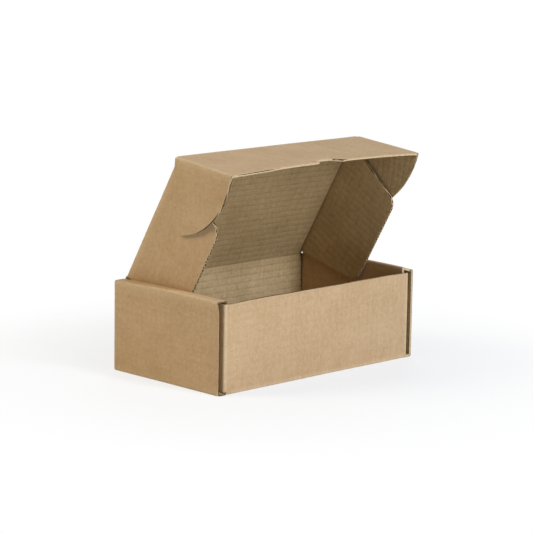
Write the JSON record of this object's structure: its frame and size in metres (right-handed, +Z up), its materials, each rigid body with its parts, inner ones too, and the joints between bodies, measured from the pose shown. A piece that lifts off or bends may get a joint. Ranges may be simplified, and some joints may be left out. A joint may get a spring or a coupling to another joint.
{
  "type": "corrugated mailer box",
  "caption": "Die-cut roll-end mailer box of single-wall corrugated board, with a hinged lid, a front tuck flap and two rounded ears.",
  "frame": {"origin": "middle of the tray's underside", "axes": "+X along the length, to the right seen from the front; +Y to the back, where the lid is hinged; +Z up"},
  "size_m": [0.25, 0.147, 0.2029],
  "materials": {
    "tray": "matt brown kraft liner",
    "lid": "matt brown kraft liner",
    "tuck_flap": "matt brown kraft liner",
    "left_ear": "matt brown kraft liner",
    "right_ear": "matt brown kraft liner"
  },
  "bodies": {
    "tray": {"tray": "tray"},
    "lid": {"lid": "lid"},
    "tuck_flap": {"tuck_flap": "tuck_flap"},
    "left_ear": {"left_ear": "left_ear"},
    "right_ear": {"right_ear": "right_ear"}
  },
  "joints": [
    {"name": "lid_hinge", "type": "hinge", "parent": "tray", "child": "lid", "pos_m": [0, 0.06765, 0.08165], "axis": [-1, 0, 0], "range_deg": [-25, 120]},
    {"name": "tuck_fold", "type": "hinge", "parent": "lid", "child": "tuck_flap", "pos_m": [0, -0.00155, 0.20151], "axis": [1, 0, 0], "range_deg": [-66.8, 23.2]},
    {"name": "left_ear_fold", "type": "hinge", "parent": "tuck_flap", "child": "left_ear", "pos_m": [-0.11715, -0.00155, 0.20151], "axis": [0, -0.993, -0.1184], "range_deg": [-90, 0]},
    {"name": "right_ear_fold", "type": "hinge", "parent": "tuck_flap", "child": "right_ear", "pos_m": [0.11715, -0.00155, 0.20151], "axis": [0, 0.993, 0.1184], "range_deg": [-90, 0]}
  ]
}
